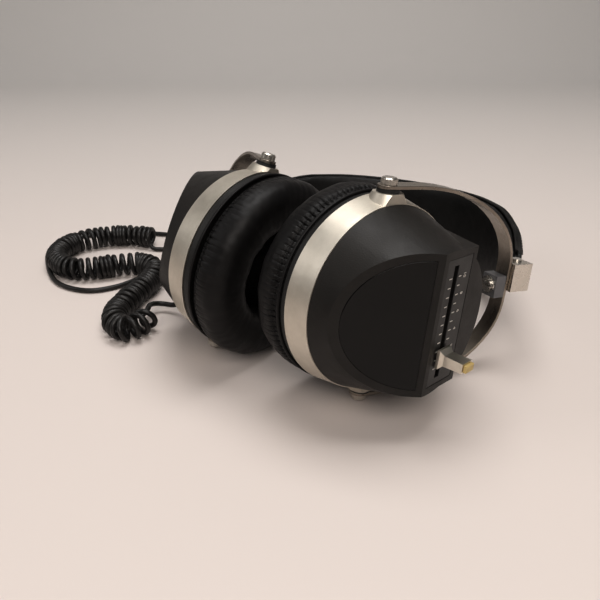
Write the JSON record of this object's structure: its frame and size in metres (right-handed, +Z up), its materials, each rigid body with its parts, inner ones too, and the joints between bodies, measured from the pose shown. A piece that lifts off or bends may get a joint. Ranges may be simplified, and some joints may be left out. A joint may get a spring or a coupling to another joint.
{
  "type": "wired stereo headphones",
  "caption": "Over-ear wired headphones with padded headband, steel yokes, folding brackets, a volume slider on each cup and a curly cord with a jack plug.",
  "frame": {"origin": "on the table under the middle of the folded headphones, the cord left out", "axes": "+Z up from the table; -Y towards the right cup's outer face; +X towards the right end of the headband"},
  "size_m": [0.3014, 0.2404, 0.1055],
  "materials": {
    "strap_steel": "brushed",
    "pocket": "matt",
    "chrome": "polished",
    "pin_steel": "turned",
    "bracket_grey": "satin",
    "screw_steel": "polished",
    "yoke_steel": "brushed along the strip",
    "knob_steel": "turned",
    "washer": "matt",
    "trim_aluminium": "satin, brushed around",
    "housing_black": "fine texture",
    "gloss_panel": "glossy",
    "scale_panel": "satin",
    "scale_white": "printed",
    "lever_metal": "satin chrome",
    "lever_insert": "satin",
    "slider_can": "plated",
    "baffle": "matt",
    "driver_frame": "satin",
    "driver_cone": "paper",
    "driver_magnet": "ground",
    "felt": "felt",
    "ear_cloth": "woven",
    "cushion_vinyl": "soft satin vinyl",
    "band_vinyl": "satin vinyl",
    "band_steel": "spring steel",
    "pad_vinyl": "soft vinyl",
    "gland": "satin",
    "cord_wire": "satin",
    "plug_body": "moulded",
    "plug_metal": "polished"
  },
  "bodies": {
    "headband": {"band_cover": "band_vinyl", "band_spring": "band_steel", "band_pad": "pad_vinyl", "right_strap_pocket": "pocket", "left_strap_pocket": "pocket"},
    "right_slide": {"right_strap": "strap_steel"},
    "right_bracket": {"right_fold_clevis": "chrome", "right_fold_pin": "pin_steel", "right_bracket_block": "bracket_grey", "right_bracket_screw": "screw_steel"},
    "right_yoke_arm": {"right_yoke": "yoke_steel"},
    "right_cup": {"right_pivot_screws": "knob_steel", "right_pivot_washers": "washer", "right_trim_ring": "trim_aluminium", "right_housing": "housing_black", "right_outer_panel": "gloss_panel", "right_slider_panel": "scale_panel", "right_scale_marks": "scale_white", "right_slider_body": "slider_can", "right_baffle": "baffle", "right_driver_frame": "driver_frame", "right_driver_cone": "driver_cone", "right_driver_magnet": "driver_magnet", "right_damping_felt": "felt", "right_ear_cloth": "ear_cloth", "right_ear_cushion": "cushion_vinyl"},
    "right_volume": {"right_slider_lever": "lever_metal", "right_lever_insert": "lever_insert"},
    "left_slide": {"left_strap": "strap_steel"},
    "left_bracket": {"left_fold_clevis": "chrome", "left_fold_pin": "pin_steel", "left_bracket_block": "bracket_grey", "left_bracket_screw": "screw_steel"},
    "left_yoke_arm": {"left_yoke": "yoke_steel"},
    "left_cup": {"left_pivot_screws": "knob_steel", "left_pivot_washers": "washer", "left_trim_ring": "trim_aluminium", "left_housing": "housing_black", "left_outer_panel": "gloss_panel", "left_slider_panel": "scale_panel", "left_scale_marks": "scale_white", "left_slider_body": "slider_can", "left_baffle": "baffle", "left_driver_frame": "driver_frame", "left_driver_cone": "driver_cone", "left_driver_magnet": "driver_magnet", "left_damping_felt": "felt", "left_ear_cloth": "ear_cloth", "left_ear_cushion": "cushion_vinyl", "cord_gland": "gland", "cord_lead": "cord_wire", "cord_curls": "cord_wire", "cord_tail": "cord_wire", "plug_body": "plug_body", "plug_pin": "plug_metal"},
    "left_volume": {"left_slider_lever": "lever_metal", "left_lever_insert": "lever_insert"}
  },
  "joints": [
    {"name": "right_slide", "type": "slide", "parent": "headband", "child": "right_slide", "axis": [-0.2677, -0.9509, 0.1551], "range_m": [0, 0.02]},
    {"name": "right_fold", "type": "hinge", "parent": "right_slide", "child": "right_bracket", "pos_m": [0.08166, -0.03847, 0.04204], "axis": [0.0772, 0.1393, 0.9872], "range_deg": [0, 33.6]},
    {"name": "right_swivel", "type": "hinge", "parent": "right_bracket", "child": "right_yoke_arm", "pos_m": [0.07448, -0.04184, 0.04307], "axis": [0.8974, 0.4217, -0.1297], "range_deg": [-12, 12]},
    {"name": "right_tilt", "type": "hinge", "parent": "right_yoke_arm", "child": "right_cup", "pos_m": [0.00762, -0.07325, 0.05274], "axis": [0.0923, 0.108, 0.9899], "range_deg": [-15, 15]},
    {"name": "right_volume", "type": "slide", "parent": "right_cup", "child": "right_volume", "axis": [0.0923, 0.108, 0.9899], "range_m": [-0.007, 0.037]},
    {"name": "left_slide", "type": "slide", "parent": "headband", "child": "left_slide", "axis": [-0.712, -0.6854, 0.1524], "range_m": [0, 0.02]},
    {"name": "left_fold", "type": "hinge", "parent": "left_slide", "child": "left_bracket", "pos_m": [-0.07698, 0.05632, 0.04107], "axis": [-0.0772, -0.1393, -0.9872], "range_deg": [0, 45.5], "deforming": ["cord_lead", "cord_curls", "cord_tail"]},
    {"name": "left_swivel", "type": "hinge", "parent": "left_bracket", "child": "left_yoke_arm", "pos_m": [-0.07492, 0.04865, 0.04199], "axis": [-0.2568, 0.9596, -0.1153], "range_deg": [-12, 12]},
    {"name": "left_tilt", "type": "hinge", "parent": "left_yoke_arm", "child": "left_cup", "pos_m": [-0.05579, -0.02284, 0.05058], "axis": [0.2952, 0.1915, 0.9361], "range_deg": [-15, 12]},
    {"name": "left_volume", "type": "slide", "parent": "left_cup", "child": "left_volume", "axis": [0.2952, 0.1915, 0.9361], "range_m": [-0.007, 0.037]}
  ]
}
